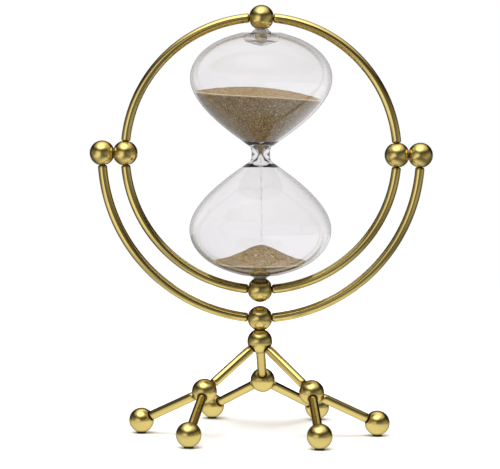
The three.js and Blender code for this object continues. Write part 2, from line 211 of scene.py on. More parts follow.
# ---------------------------------------------------------------- materials
class Nodes:
    """Short calls for the node tree of a material, or of the world."""

    def __init__(self, name, world=False):
        self.material = (bpy.data.worlds if world else bpy.data.materials).new(name)
        self.material.use_nodes = True
        self.tree = self.material.node_tree
        self.tree.nodes.clear()
        self.output = self.tree.nodes.new("ShaderNodeOutput" + ("World" if world else "Material"))

    def add(self, kind, inputs=None, **settings):
        node = self.tree.nodes.new("ShaderNode" + kind)
        for key, value in settings.items():
            setattr(node, key, value)
        for key, value in (inputs or {}).items():
            self.set(node, key, value)
        return node

    def set(self, node, key, value):
        socket = node.inputs[key]
        if isinstance(value, bpy.types.NodeSocket):
            self.tree.links.new(value, socket)
        else:
            socket.default_value = value

    def ramp(self, factor, stops):
        node = self.add("ValToRGB", {"Fac": factor})
        elements = node.color_ramp.elements
        while len(elements) < len(stops):
            elements.new(0.5)
        for element, (position, colour) in zip(elements, stops):
            element.position = position
            element.color = (*colour, 1)
        return node.outputs["Color"]

    def math(self, operation, a, b):
        node = self.add("Math", operation=operation)
        self.set(node, 0, a)
        self.set(node, 1, b)
        return node.outputs[0]

    def span(self, value, low, high):
        """value, from 0 to 1, mapped to a range."""
        node = self.add("MapRange", {"Value": value, "To Min": low, "To Max": high})
        return node.outputs["Result"]

    def smooth(self, value, start, end, low, high):
        """low before start, high after end, with a soft step between."""
        inputs = {"Value": value, "From Min": start, "From Max": end, "To Min": low, "To Max": high}
        return self.add("MapRange", inputs, interpolation_type="SMOOTHSTEP").outputs["Result"]

    def mix(self, factor, a, b, blend="MIX"):
        node = self.add("Mix", data_type="RGBA", blend_type=blend)
        self.set(node, "Factor", factor)
        for key, value in ((6, a), (7, b)):
            if isinstance(value, tuple):
                value = (*value, 1)
            self.set(node, key, value)
        return node.outputs[2]

    def mix_shaders(self, factor, a, b):
        return self.add("MixShader", {"Fac": factor, 1: a.outputs[0], 2: b.outputs[0]})

    def place(self):
        return self.add("TexCoord").outputs["Object"]

    def noise(self, vector, scale, detail=3.0, roughness=0.5):
        inputs = {"Vector": vector, "Scale": scale, "Detail": detail, "Roughness": roughness}
        return self.add("TexNoise", inputs).outputs["Fac"]

    def bump(self, height, strength, distance):
        inputs = {"Height": height, "Strength": strength, "Distance": distance}
        return self.add("Bump", inputs).outputs["Normal"]

    def surface(self, shader):
        self.tree.links.new(shader.outputs[0], self.output.inputs["Surface"])
        return self.material


def brass_material(name, colour, dark, roughness):
    """Satin brass: fine brushing, faint stains, and dark patina with painted shade at the joints, where
    a point attribute says. Rods, marked by the attribute 'drawn', are smoother."""
    n = Nodes(name)
    where = n.place()
    cloud = n.noise(where, 120, 4)
    speck = n.noise(where, 2500, 2)
    brushing = n.noise(where, 6000, 2, 0.6)
    patina_and_shade = n.add("Attribute", attribute_name="patina_and_shade").outputs["Fac"]
    stained = n.mix(n.span(cloud, 0.0, 0.25), colour, tuple(0.8 * c for c in colour))
    speckled = n.mix(n.span(speck, 0.0, 0.10), stained, dark)
    # Dark patina and painted shade at the joints, both in the one dark colour
    aged_and_shaded = n.mix(patina_and_shade, speckled, dark)
    drawn = n.add("Attribute", attribute_name="drawn").outputs["Fac"]
    rough = n.math("ADD", n.span(cloud, -0.03, 0.03), n.span(brushing, -0.02, 0.02))
    rough = n.math("ADD", rough, n.span(drawn, roughness, 0.7 * roughness))
    rough = n.math("ADD", rough, n.math("MULTIPLY", patina_and_shade, 0.25))
    shader = n.add("BsdfPrincipled", {
        "Base Color": aged_and_shaded,
        "Metallic": 1.0,
        "Roughness": rough,
        # A dark edge tint: painted shade that darkens the brass towards its outlines
        "Specular Tint": (0.06, 0.05, 0.03, 1),
        "Coat Weight": 0.5,
        "Coat Roughness": 0.2,
        "Normal": n.bump(brushing, 0.08, 0.01 * MM),
    })
    return n.surface(shader)


def glass_material():
    """Clear blown glass that also lets lamps through to the sand. Painted shade greys it where it is seen
    edge on, and darkens it much more in the thick waist, marked by the attribute 'waist'."""
    n = Nodes("clear_glass")
    facing = n.add("LayerWeight", {"Blend": 0.5}).outputs["Facing"]
    waist = n.add("Attribute", attribute_name="waist").outputs["Fac"]
    edge = n.math("ADD", facing, n.math("MULTIPLY", waist, 0.45))
    # Painted shade: grey where the glass is seen edge on, and dark at the waist, for the dark room seen in
    # it
    tint = n.mix(n.smooth(facing, 0.60, 1.0, 0.0, 1.0), (0.978, 0.974, 0.977), (0.72, 0.71, 0.71))
    tint = n.mix(n.smooth(edge, 0.55, 0.85, 0.0, waist), tint, (0.15, 0.14, 0.13))
    shader = n.add("BsdfGlass", {"Color": tint, "Roughness": 0.0, "IOR": 1.47})
    clear = n.add("BsdfTransparent", {"Color": (0.93, 0.93, 0.94, 1)})
    path = n.add("LightPath").outputs
    through = n.math("MAXIMUM", path["Is Shadow Ray"], path["Is Diffuse Ray"])
    absorb = n.add("VolumeAbsorption", {"Color": (0.78, 0.76, 0.80, 1), "Density": 60.0})
    n.tree.links.new(absorb.outputs[0], n.output.inputs["Volume"])
    return n.surface(n.mix_shaders(through, shader, clear))


def sand_material():
    """Fine dry sand: brown grains of several shades, a few light and a few dark ones. A point attribute
    marks a painted highlight along the rim, where the sand meets the glass."""
    n = Nodes("brown_sand")
    where = n.place()
    grains = n.add("TexVoronoi", {"Vector": where, "Scale": 2400.0}, feature="F1").outputs
    shade = n.add("SeparateColor", {"Color": grains["Color"]}).outputs["Red"]
    colour = n.ramp(shade, [
        (0.0, (0.08, 0.047, 0.016)),
        (0.35, (0.23, 0.152, 0.06)),
        (0.7, (0.39, 0.275, 0.118)),
        (0.93, (0.60, 0.46, 0.22)),
        (1.0, (1.0, 0.84, 0.54)),
    ])
    drift = n.noise(where, 260, 4)
    colour = n.mix(n.span(drift, 0.0, 0.55), colour, (0.19, 0.13, 0.056))
    painted_rim_highlight = n.add("Attribute", attribute_name="painted_rim_highlight").outputs["Fac"]
    # Painted highlight along the rim, where the sand meets the glass
    colour = n.mix(painted_rim_highlight, colour, (1.0, 0.82, 0.58))
    height = n.math("SUBTRACT", 1.0, grains["Distance"])
    shader = n.add("BsdfPrincipled", {
        "Base Color": colour,
        "Roughness": n.span(shade, 0.95, 0.55),
        "Specular IOR Level": 0.3,
        "Normal": n.bump(height, 0.5, 0.15 * MM),
    })
    return n.surface(shader)


def silicone_material():
    """Cloudy soft silicone."""
    n = Nodes("silicone")
    where = n.place()
    haze = n.noise(where, 300, 3)
    shader = n.add("BsdfPrincipled", {
        "Base Color": n.mix(haze, (0.80, 0.82, 0.85), (0.92, 0.93, 0.94)),
        "Roughness": n.span(haze, 0.2, 0.4),
        "Transmission Weight": 0.8,
        "IOR": 1.41,
        "Normal": n.bump(n.noise(where, 900, 2), 0.15, 0.05 * MM),
    })
    return n.surface(shader)


def rubber_material():
    n = Nodes("pad_rubber")
    where = n.place()
    grain = n.noise(where, 1500, 3, 0.6)
    shader = n.add("BsdfPrincipled", {
        "Base Color": n.mix(grain, (0.012, 0.011, 0.010), (0.035, 0.032, 0.028)),
        "Roughness": n.span(grain, 0.65, 0.9),
        "Specular IOR Level": 0.3,
        "Normal": n.bump(grain, 0.4, 0.1 * MM),
    })
    return n.surface(shader)


BRASS = brass_material("frame_brass", (0.82, 0.64, 0.20), (0.08, 0.05, 0.012), 0.25)
# Pin brass is paler than the frame's: painted lighter, to make up for the ball's shade over the glass pins
PIN_BRASS = brass_material("pin_brass", (0.84, 0.74, 0.50), (0.14, 0.10, 0.05), 0.3)
GLASS = glass_material()
SAND = sand_material()
SILICONE = silicone_material()
RUBBER = rubber_material()


# ---------------------------------------------------------------- balls
BALL_SUBDIVISIONS = 5
BORE_SIDES = 48


def tool_object(at, axis, bore, depth):
    """A cutter for one joint of a ball: everything beyond the flat, and a blind bore."""
    reach = BALL_R * 0.95
    floor = [(0, -depth), (bore, -depth), (bore, 0)] if depth > 0 else [(0, 0)]
    verts, faces = turned(floor + [(reach, 0), (reach, BALL_R), (0, BALL_R)], BORE_SIDES)
    mesh = mesh_from("cutter", moved(verts, turn_to(axis, at)), faces)
    cutter = bpy.data.objects.new("cutter", mesh)
    bpy.context.scene.collection.objects.link(cutter)
    return cutter


def ball(node, body, centre, joints):
    """joints are (flat's centre from the ball's centre, outward axis, bore radius, bore depth)."""
    bm = bmesh.new()
    bmesh.ops.create_icosphere(bm, subdivisions=BALL_SUBDIVISIONS, radius=BALL_R)
    whole = bpy.data.meshes.new("ball")
    bm.to_mesh(whole)
    bm.free()
    blank = bpy.data.objects.new("blank", whole)
    bpy.context.scene.collection.objects.link(blank)
    cutters = [tool_object(*joint) for joint in joints]
    for cutter in cutters:
        modifier = blank.modifiers.new("cut", "BOOLEAN")
        modifier.operation, modifier.solver, modifier.object = "DIFFERENCE", "MANIFOLD", cutter
    graph = bpy.context.evaluated_depsgraph_get()
    mesh = bpy.data.meshes.new_from_object(blank.evaluated_get(graph))
    for spare in (blank, *cutters):
        data = spare.data
        bpy.data.objects.remove(spare)
        bpy.data.meshes.remove(data)
    mesh.name = node
    mesh.materials.clear()
    paint(mesh, "patina_and_shade", [joint_patina_and_shade(v.co, joints) for v in mesh.vertices])
    mesh.transform(Matrix.Translation(centre))
    finish_shading(mesh, 15)
    show(mesh, node, body, BRASS)


def joint_patina_and_shade(point, joints):
    """Patina and painted shade: dark close to each flat's rim, fading within a fraction of a millimetre."""
    darkest = 0.0
    for at, axis, _, _ in joints:
        offset = point - at
        height = offset.dot(axis)
        radius = (offset - axis * height).length
        rim = math.sqrt(max(BALL_R**2 - at.length**2, 0))
        outside = max(radius - rim, 0)
        distance = math.hypot(outside, height)
        darkest = max(darkest, math.exp(-distance / (0.3 * MM)))
    return darkest


def spigot_joint(axis, seat=SEAT):
    return (axis * seat, axis, SPIGOT_R + GAP, SPIGOT_L + BORE_SPARE)


# ---------------------------------------------------------------- rods
ROD_SIDES = 40
CHAMFER_R = 2.05 * MM
CHAMFER_L = 0.75 * MM


def rod_mesh(node, point, tangent, side, length, steps):
    """A rod along a path of that length, with turned-down ends and a spigot beyond each. point,
    tangent and side are functions of the distance along the path, which may run past both ends."""
    tip = -GAP - SPIGOT_L
    start = [(tip, SPIGOT_R - 0.3 * MM), (tip + 0.3 * MM, SPIGOT_R), (0, SPIGOT_R), (0, CHAMFER_R),
             (0.12 * MM, CHAMFER_R + 0.05 * MM), (CHAMFER_L, ROD_R - 0.06 * MM),
             (CHAMFER_L + 0.15 * MM, ROD_R)]
    middle = [(length * i / steps, ROD_R) for i in range(1, steps)]
    end = [(length - s, r) for s, r in reversed(start)]
    stations = start + middle + end
    rings, shade = [], []
    for s, radius in stations:
        along, across = tangent(s), side(s)
        up = along.cross(across)
        angles = [2 * math.pi * j / ROD_SIDES for j in range(ROD_SIDES)]
        rings.append([point(s) + (across * math.cos(a) + up * math.sin(a)) * radius for a in angles])
        # Patina and painted shade, darkest at the rod's ends where it meets a ball
        inside = max(min(s, length - s), 0)
        shade += [math.exp(-inside / (0.45 * MM))] * ROD_SIDES
    verts, faces = skin(rings, start_pole=point(stations[0][0]), end_pole=point(stations[-1][0]))
    mesh = mesh_from(node, verts, faces, 25)
    paint(mesh, "patina_and_shade", shade + [1.0, 1.0])
    paint(mesh, "drawn", [1.0] * len(mesh.vertices))
    return mesh


def straight_rod(node, body, start, direction):
    """From one ball's centre to the next ball, one pitch away."""
    offset = SEAT + GAP
    across = direction.orthogonal().normalized()
    mesh = rod_mesh(node, lambda s: start + direction * (offset + s), lambda s: direction,
                    lambda s: across, ROD_PITCH - 2 * offset, 12)
    show(mesh, node, body, BRASS)


def spoke(angle):
    return Vector((math.cos(angle), 0, math.sin(angle)))


def heading(angle):
    """Direction along an arc where its angle grows."""
    return Vector((-math.sin(angle), 0, math.cos(angle)))


def bent_rod(node, body, centre, radius, first, last):
    """Along an arc in the XZ plane between two balls, given by their angles about the arc's centre."""
    trim = 2 * math.asin((SEAT + GAP) / (2 * radius))
    begin, length = first + trim, radius * (last - first - 2 * trim)

    def point(s):
        inside = min(max(s, 0), length)
        return centre + spoke(begin + inside / radius) * radius + tangent(s) * (s - inside)

    def tangent(s):
        return heading(begin + min(max(s, 0), length) / radius)

    mesh = rod_mesh(node, point, tangent, lambda s: Vector((0, 1, 0)), length, 72)
    show(mesh, node, body, BRASS)


def bent_joint(radius, ball_angle, direction):
    """Joint of a ball on an arc, on the side where the arc's angle grows (1) or falls (-1)."""
    turn = 2 * math.asin(SEAT / (2 * radius))
    angle = ball_angle + direction * turn
    at = (spoke(angle) - spoke(ball_angle)) * radius
    return (at, heading(angle) * direction, SPIGOT_R + GAP, SPIGOT_L + BORE_SPARE)


# ---------------------------------------------------------------- ring
def build_ring():
    quarters = [("right", "upper_right"), ("top", "upper_left"),
                ("left", "lower_left"), ("bottom", "lower_right")]
    for index, (name, rod) in enumerate(quarters):
        angle = index * math.pi / 2
        outward = spoke(angle)
        joints = [bent_joint(RING_R, angle, 1), bent_joint(RING_R, angle, -1)]
        if name in ("top", "bottom"):
            joints.append((-outward * PIN_SEAT, -outward, PIN_R + GAP, PIN_SOCKET_L))
        else:
            bore = JOURNAL_R + JOURNAL_CLEARANCE
            joints.append((outward * PIVOT_SEAT, outward, bore, JOURNAL_L + BORE_SPARE))
        ball(f"ring_ball_{name}", "ring", PIVOT + outward * RING_R, joints)
        bent_rod(f"ring_tube_{rod}", "ring", PIVOT, RING_R, angle, angle + math.pi / 2)


# ---------------------------------------------------------------- glass and what it holds
def outer_half():
    """(radius, height) from the neck's middle over the bulb and the end's lip to the axis in the recess."""
    shoulder_end = math.acos(15 * MM / BULB_R)
    lip = (10.5 * MM, 67.8 * MM)
    points = [(NECK_R, 0)]
    points += quadratic((NECK_R, 0), (NECK_R, 2 * MM), (NECK_R + 0.6 * MM, 3.6 * MM), 6)
    widest = (BULB_R, BULB_Z)
    points += bezier(points[-1], (NECK_R + 1.5 * MM, 5.6 * MM), (BULB_R, BULB_Z - 18.3 * MM), widest, 40)
    for i in range(1, 33):
        angle = shoulder_end * i / 32
        points.append((BULB_R * math.cos(angle), BULB_Z + SHOULDER_Z * math.sin(angle)))
    points += quadratic(points[-1], (11.2 * MM, lip[1]), lip, 8)
    points += quadratic(lip, (9.7 * MM, lip[1]), (9.6 * MM, 66.8 * MM), 6)
    points += quadratic(points[-1], (9.4 * MM, 64 * MM), (8 * MM, 63.6 * MM), 8)
    points += bezier(points[-1], (5.5 * MM, 62.9 * MM), (3 * MM, DIMPLE_Z), (0, DIMPLE_Z), 14)
    return points


def inner_half(clearance):
    """The inner face, or a surface that far inside it: a funnel from the orifice that opens into a
    nearly flat floor, then the wall's offset."""
    outer = outer_half()
    wall = []
    for i, (r, z) in enumerate(outer):
        if z < FUNNEL_TOP:
            continue
        before, after = outer[max(i - 1, 0)], outer[min(i + 1, len(outer) - 1)]
        along = Vector((after[0] - before[0], after[1] - before[1])).normalized()
        inside = WALL + clearance
        wall.append((r - along.y * inside, z + along.x * inside))
    wall[-1] = (0, outer[-1][1] - WALL - clearance)
    throat = ORIFICE_R - clearance
    flare = (2.6 * MM, 5.2 * MM + clearance)
    funnel = bezier((throat, 0), (throat + 0.5 * MM, 1.2 * MM), flare, wall[0], 22)
    return [(throat, 0)] + funnel[:-1] + wall


def upside_down(half):
    """The other bulb's half, without the middle that both share."""
    return [(r, -z) for r, z in reversed(half[1:])]


def with_fill_hole(half):
    return [(r, z) for r, z in half if z < BULB_Z or r >= FILL_HOLE_R]


def glass_vessel():
    """One closed skin: outer face, the filling hole's wall in the upper dimple, and inner face."""
    outer, inner = with_fill_hole(outer_half()), with_fill_hole(inner_half(0))
    chamfer = 0.05 * MM
    hole = [(FILL_HOLE_R, outer[-1][1] - chamfer), (FILL_HOLE_R, inner[-1][1] + chamfer)]
    inside = upside_down(inner_half(0)) + inner
    outline = upside_down(outer_half()) + outer + hole + list(reversed(inside))
    verts, faces = turned(outline, GLASS_SEGMENTS)
    mesh = mesh_from("glass_vessel", moved(verts, Matrix.Translation(PIVOT)), faces, 40)
    paint(mesh, "waist", [max(0, 1 - abs(v.co.z - PIVOT.z) / WAIST_REACH) for v in mesh.vertices])
    show(mesh, "glass_vessel", "ring", GLASS)


def ruffled(point, amount, scale):
    """A small seeded push, for loose surfaces."""
    return amount * noise.fractal(Vector(point) * scale + Vector((SEED, 0, 0)), 1.0, 2.0, 3)


def inner_radius(height, outline):
    """Radius of the sand's side at a height, on the flank above the neck."""
    flank = [(r, z) for r, z in outline if 0 <= z <= BULB_Z]
    return float(np.interp(height, [z for r, z in flank], [r for r, z in flank]))


def dome_height(share):
    """Height of the sand above its rim, at a share of the rim's radius from the middle."""
    return SAND_DOME * (1 - share**2)


def rim_height(angle, outline):
    """Where the upper sand's surface meets the glass: on a plane that falls to the right, found by
    repeated substitution, and a little higher in front."""
    height = SAND_TOP
    for _ in range(12):
        height = SAND_TOP - math.tan(SAND_TILT) * inner_radius(height, outline) * math.cos(angle)
    front = max(-math.sin(angle - 0.25), 0) ** 4
    return height + SAND_LIP * front


def upper_sand():
    """The sand above the orifice: a side that follows the glass and a low dome on top."""
    outline = inner_half(SAND_CLEARANCE)
    bottom = 0.3 * MM
    sides, side_rows, top_rows = 192, 90, 70
    slope = math.tan(SAND_TILT)
    angles = [2 * math.pi * j / sides for j in range(sides)]
    rims = [rim_height(a, outline) for a in angles]
    # edge holds a painted highlight along the rim, fading down the side and in over the top
    rings, edge = [], []
    for i in range(side_rows + 1):
        ring = []
        for a, top in zip(angles, rims):
            z = bottom + (top - bottom) * i / side_rows
            r = inner_radius(z, outline)
            ring.append(Vector((r * math.cos(a), r * math.sin(a), z)))
            edge.append(math.exp((z - top) / (0.25 * MM)))
        rings.append(ring)
    for i in range(1, top_rows):
        share = 1 - (i / top_rows) ** 1.5
        ring = []
        for a, top in zip(angles, rims):
            r = inner_radius(top, outline) * share
            x, y = r * math.cos(a), r * math.sin(a)
            level = SAND_TOP - slope * x
            level += (top - SAND_TOP + slope * inner_radius(top, outline) * math.cos(a)) * share ** 6
            z = level + dome_height(share) + ruffled((x, y, 0), 0.25 * MM, 260) * min(1, 8 * (1 - share))
            ring.append(Vector((x, y, z)))
            edge.append(math.exp((share - 1) / 0.012))
        rings.append(ring)
    peak = Vector((0, 0, SAND_TOP + dome_height(0)))
    verts, faces = skin(rings, start_pole=Vector((0, 0, bottom)), end_pole=peak)
    mesh = mesh_from("upper_sand", moved(verts, Matrix.Translation(PIVOT)), faces, 50)
    paint(mesh, "painted_rim_highlight", edge + [0.0, 0.0])
    show(mesh, "upper_sand", "ring", SAND)


def heap_height(radius):
    """The heap's slope: a rounded peak that flattens out towards the wall."""
    share = min(radius / HEAP_R, 1) ** 0.8
    return HEAP_EDGE + (HEAP_PEAK - HEAP_EDGE) * (0.5 + 0.5 * math.cos(math.pi * share))


def lower_sand():
    """The heap, resting in the glass's rounded end and round its recess."""
    under = [(r, -z) for r, z in inner_half(SAND_CLEARANCE) if z > BULB_Z]
    bed = [(r, z) for r, z in under if z < heap_height(r)]
    last = under[len(under) - len(bed) - 1]
    gap = [z - heap_height(r) for r, z in (last, bed[0])]
    share = gap[0] / (gap[0] - gap[1])
    edge = tuple(last[k] + (bed[0][k] - last[k]) * share for k in (0, 1))
    sides, top_rows = 192, 90
    rings = [circle(r, z, sides) for r, z in reversed(bed) if r > 0] + [circle(*edge, sides)]
    # Painted highlight along the heap's rim, fading in over the top
    painted_rim_highlight = [0.0] * (sides * (len(rings) - 1)) + [1.0] * sides
    for i in range(1, top_rows):
        out = 1 - (i / top_rows) ** 1.3
        radius = edge[0] * out
        ring = circle(radius, 0, sides)
        for point in ring:
            point.z = heap_height(radius) + ruffled(point, 0.3 * MM, 240) * min(1, 8 * (1 - out))
            point.x += HEAP_SHIFT * (1 - out)
        rings.append(ring)
        painted_rim_highlight += [math.exp((out - 1) / 0.02)] * sides
    floor = min(z for r, z in bed if r < 1e-6)
    verts, faces = skin(rings, start_pole=Vector((0, 0, floor)), end_pole=Vector((HEAP_SHIFT, 0, HEAP_PEAK)))
    mesh = mesh_from("lower_sand", moved(verts, Matrix.Translation(PIVOT)), faces, 50)
    paint(mesh, "painted_rim_highlight", painted_rim_highlight + [0.0, 0.0])
    show(mesh, "lower_sand", "ring", SAND)


# A grain: an octahedron that is a little longer one way
GRAIN_CORNERS = [Vector((1, 0, 0)), Vector((-1, 0, 0)), Vector((0, 1, 0)), Vector((0, -1, 0)),
                 Vector((0, 0, 1.2)), Vector((0, 0, -1.2))]
GRAIN_FACES = [(0, 2, 4), (2, 1, 4), (1, 3, 4), (3, 0, 4), (2, 0, 5), (1, 2, 5), (3, 1, 5), (0, 3, 5)]


def sand_stream():
    """Falling grains in a thin column, close together at the orifice and looser below."""
    draw = random.Random(SEED)
    verts, faces = [], []
    top, bottom = 0.2 * MM, HEAP_PEAK + 0.4 * MM
    for _ in range(GRAIN_COUNT):
        fallen = draw.random() ** 0.85
        z = top + (bottom - top) * fallen
        spread = (0.16 + 0.2 * fallen) * MM
        centre = Vector((draw.gauss(HEAP_SHIFT * fallen * 0.8, spread), draw.gauss(0, spread), z))
        if z > -3 * MM:
            centre.x, centre.y = 0.5 * centre.x, 0.5 * centre.y
        size = GRAIN_R * draw.uniform(0.7, 1.3)
        spin = Quaternion([draw.gauss(0, 1) for _ in range(4)]).normalized()
        base = len(verts)
        verts += [PIVOT + centre + spin @ corner * size for corner in GRAIN_CORNERS]
        faces += [tuple(base + corner for corner in face) for face in GRAIN_FACES]
    mesh = mesh_from("sand_stream", verts, faces, 180)
    show(mesh, "sand_stream", "ring", SAND)


def plain_pin(radius, low, high, edge):
    """Outline of a round pin with both ends chamfered."""
    return [(0, low), (radius - edge, low), (radius, low + edge), (radius, high - edge),
            (radius - edge, high), (0, high)]


def glass_pin():
    """Outline of the pin that clamps the glass, chamfered at its tip only."""
    root, edge = RING_R - PIN_SEAT + 3.1 * MM, 0.5 * MM
    return [(0, PIN_TIP), (PIN_R - edge, PIN_TIP), (PIN_R, PIN_TIP + edge), (PIN_R, root), (0, root)]


def boot():
    """Outline of the silicone boot: a rounded foot in the glass's dimple, a wide flange over the lip,
    and a taper up to the ring ball, with a blind bore for the pin."""
    top = RING_R - PIN_SEAT - 0.1 * MM
    bore, bore_end = PIN_R + 0.1 * MM, PIN_TIP - 0.15 * MM

    def above(radius, height):
        """A point over the dimple's bottom, in millimetres."""
        return (radius * MM, DIMPLE_Z + height * MM)

    points = [above(0, 0.35), above(1.2, 0.45), above(2.4, 0.9)]
    points += quadratic(above(2.4, 0.9), above(3.4, 1.4), above(3.4, 3), 5)
    points += [above(3.4, 4.5), above(3.7, 4.8), above(5.2, 4.95)]
    points += quadratic(above(5.2, 4.95), above(5.6, 5), above(5.6, 5.4), 4)
    points += [above(5.55, 6.2), above(5.2, 6.7), (3.3 * MM, top - 0.1 * MM), (3.15 * MM, top)]
    return points + [(bore, top), (bore, bore_end), (0, bore_end)]


def end_fittings():
    """Pin and silicone boot at each end of the glass, and the stopper in the upper dimple."""
    for name, turn in (("top", 0), ("bottom", math.pi)):
        place = Matrix.Translation(PIVOT) @ Matrix.Rotation(turn, 4, "X")
        verts, faces = turned(glass_pin(), 48)
        mesh = mesh_from(f"{name}_pin", moved(verts, place), faces)
        paint(mesh, "patina_and_shade", [0.0] * len(mesh.vertices))
        show(mesh, f"{name}_pin", "ring", PIN_BRASS)
        verts, faces = turned(boot(), 64)
        mesh = mesh_from(f"{name}_cushion", moved(verts, place), faces, 35)
        show(mesh, f"{name}_cushion", "ring", SILICONE)
    plug = plain_pin(FILL_HOLE_R - 0.25 * MM, DIMPLE_Z - WALL, DIMPLE_Z, 0.1 * MM)
    verts, faces = turned(plug, 32)
    mesh = mesh_from("glass_plug", moved(verts, Matrix.Translation(PIVOT)), faces)
    show(mesh, "glass_plug", "ring", SILICONE)


# ---------------------------------------------------------------- cradle
def build_cradle():
    """Two bent rods from the bottom ball to the end balls. The left half is the right one turned half
    round about Z."""
    end, bottom = Vector((CRADLE_X, 0, 0)), Vector((0, 0, -CRADLE_DROP))
    chord = end - bottom
    inwards = Vector((-chord.z, 0, chord.x)).normalized()
    centre = (end + bottom) / 2 + inwards * math.sqrt(CRADLE_R**2 - chord.length_squared / 4)
    end_angle, bottom_angle = (math.atan2(p.z - centre.z, p.x - centre.x) for p in (end, bottom))
    half_turn = Matrix.Rotation(math.pi, 3, "Z")

    def on_left(joint):
        at, axis, bore, depth = joint
        return (half_turn @ at, half_turn @ axis, bore, depth)

    low = bent_joint(CRADLE_R, bottom_angle, 1)
    high = bent_joint(CRADLE_R, end_angle, -1)
    inward = Vector((-1, 0, 0))
    pivot_joint = (inward * PIVOT_SEAT, inward, SPIGOT_R + GAP, SPIGOT_L + BORE_SPARE)
    ball("cradle_ball_right", "stand", PIVOT + end, [high, pivot_joint])
    ball("cradle_ball_left", "stand", PIVOT - end, [on_left(high), on_left(pivot_joint)])
    ball("cradle_ball_bottom", "stand", PIVOT + bottom, [low, on_left(low), spigot_joint(-UP, STUD_SEAT)])
    bent_rod("cradle_tube_right", "stand", PIVOT + centre, CRADLE_R, bottom_angle, end_angle)
    bent_rod("cradle_tube_left", "stand", PIVOT + half_turn @ centre, CRADLE_R,
             math.pi - end_angle, math.pi - bottom_angle)


def build_pivots():
    """On each side a pin, fixed in the cradle's end ball, and a loose thrust washer round it."""
    tip, edge = RING_R + PIVOT_SEAT - JOURNAL_L, 0.2 * MM
    shoulder = CRADLE_X - PIVOT_SEAT - 0.1 * MM
    pin = [(0, tip), (JOURNAL_R - edge, tip), (JOURNAL_R, tip + edge), (JOURNAL_R, shoulder),
           (SPIGOT_R, shoulder), (SPIGOT_R, shoulder + SPIGOT_L), (0, shoulder + SPIGOT_L)]
    low, bevel = RING_R + (PIVOT_PITCH - WASHER_T) / 2, 0.1 * MM
    high = low + WASHER_T
    washer = [(WASHER_BORE_R, low), (WASHER_R - bevel, low), (WASHER_R, low + bevel),
              (WASHER_R, high - bevel), (WASHER_R - bevel, high), (WASHER_BORE_R, high)]
    for side, turn in (("right", math.pi / 2), ("left", -math.pi / 2)):
        place = Matrix.Translation(PIVOT) @ Matrix.Rotation(turn, 4, "Y")
        # Pivot pins and washers are darkened all over: patina and painted shade in the joints between the
        # balls
        for name, profile, dark in (("pivot_pin", pin, 0.5), ("pivot_washer", washer, 0.85)):
            verts, faces = turned(profile, 48)
            mesh = mesh_from(f"{name}_{side}", moved(verts, place), faces)
            paint(mesh, "patina_and_shade", [dark] * len(mesh.vertices))
            show(mesh, f"{name}_{side}", "stand", PIN_BRASS)


# ---------------------------------------------------------------- tripod
def build_tripod():
    """Three legs from the hub, each with a knee ball and two feet."""
    hub = PIVOT - UP * (CRADLE_DROP + HUB_PITCH)
    hub_joints = [spigot_joint(UP, STUD_SEAT)]
    legs = [("back", 90, ("left", "right")), ("front_left", 210, ("inner", "outer")),
            ("front_right", 330, ("outer", "inner"))]
    for leg, azimuth, sides in legs:
        angle = math.radians(azimuth)
        level = Vector((math.cos(angle), math.sin(angle), 0))
        down = level * math.cos(LEG_SLOPE) - UP * math.sin(LEG_SLOPE)
        aside = Vector((-math.sin(angle), math.cos(angle), 0))
        knee = hub + down * ROD_PITCH
        feet = [down * math.cos(FOOT_SPREAD) + aside * sign * math.sin(FOOT_SPREAD) for sign in (1, -1)]
        hub_joints.append(spigot_joint(down))
        straight_rod(f"leg_rod_{leg}", "stand", hub, down)
        ball(f"knee_ball_{leg}", "stand", knee, [spigot_joint(axis) for axis in (-down, *feet)])
        for side, direction in zip(sides, feet):
            foot = knee + direction * ROD_PITCH
            name = f"{leg}_{side}"
            straight_rod(f"foot_rod_{name}", "stand", knee, direction)
            flat = (-UP * FOOT_FLAT, -UP, 0, 0)
            ball(f"foot_ball_{name}", "stand", foot, [spigot_joint(-direction), flat])
            foot_pad(name, foot)
    ball("hub_ball", "stand", hub, hub_joints)
    half = HUB_PITCH / 2 - STUD_SEAT + SPIGOT_L
    verts, faces = turned(plain_pin(SPIGOT_R, -half, half, 0.2 * MM), 32)
    mesh = mesh_from("coupling_stud", moved(verts, Matrix.Translation(hub + UP * HUB_PITCH / 2)), faces)
    # The stud is darkened all over: patina and painted shade in the gap between the balls
    paint(mesh, "patina_and_shade", [0.6] * len(mesh.vertices))
    show(mesh, "coupling_stud", "stand", PIN_BRASS)


def foot_pad(name, foot):
    """A rubber disc from the surface that the part stands on up to the foot ball's flat."""
    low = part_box(f"foot_pad_{name}")[0].z
    top, edge, inset = foot.z - FOOT_FLAT - 0.05 * MM, 0.18 * MM, 0.05 * MM
    profile = [(0, low), (PAD_R - edge, low), (PAD_R - inset, low + inset), (PAD_R, low + edge),
               (PAD_R, top - edge), (PAD_R - edge, top), (0, top)]
    verts, faces = turned(profile, 40)
    mesh = mesh_from(f"foot_pad_{name}", moved(verts, Matrix.Translation((foot.x, foot.y, 0))), faces)
    show(mesh, f"foot_pad_{name}", "stand", RUBBER)


# ---------------------------------------------------------------- studio
def look_from(azimuth, elevation):
    a, e = math.radians(azimuth), math.radians(elevation)
    return Vector((math.sin(a) * math.cos(e), -math.cos(a) * math.cos(e), math.sin(e)))


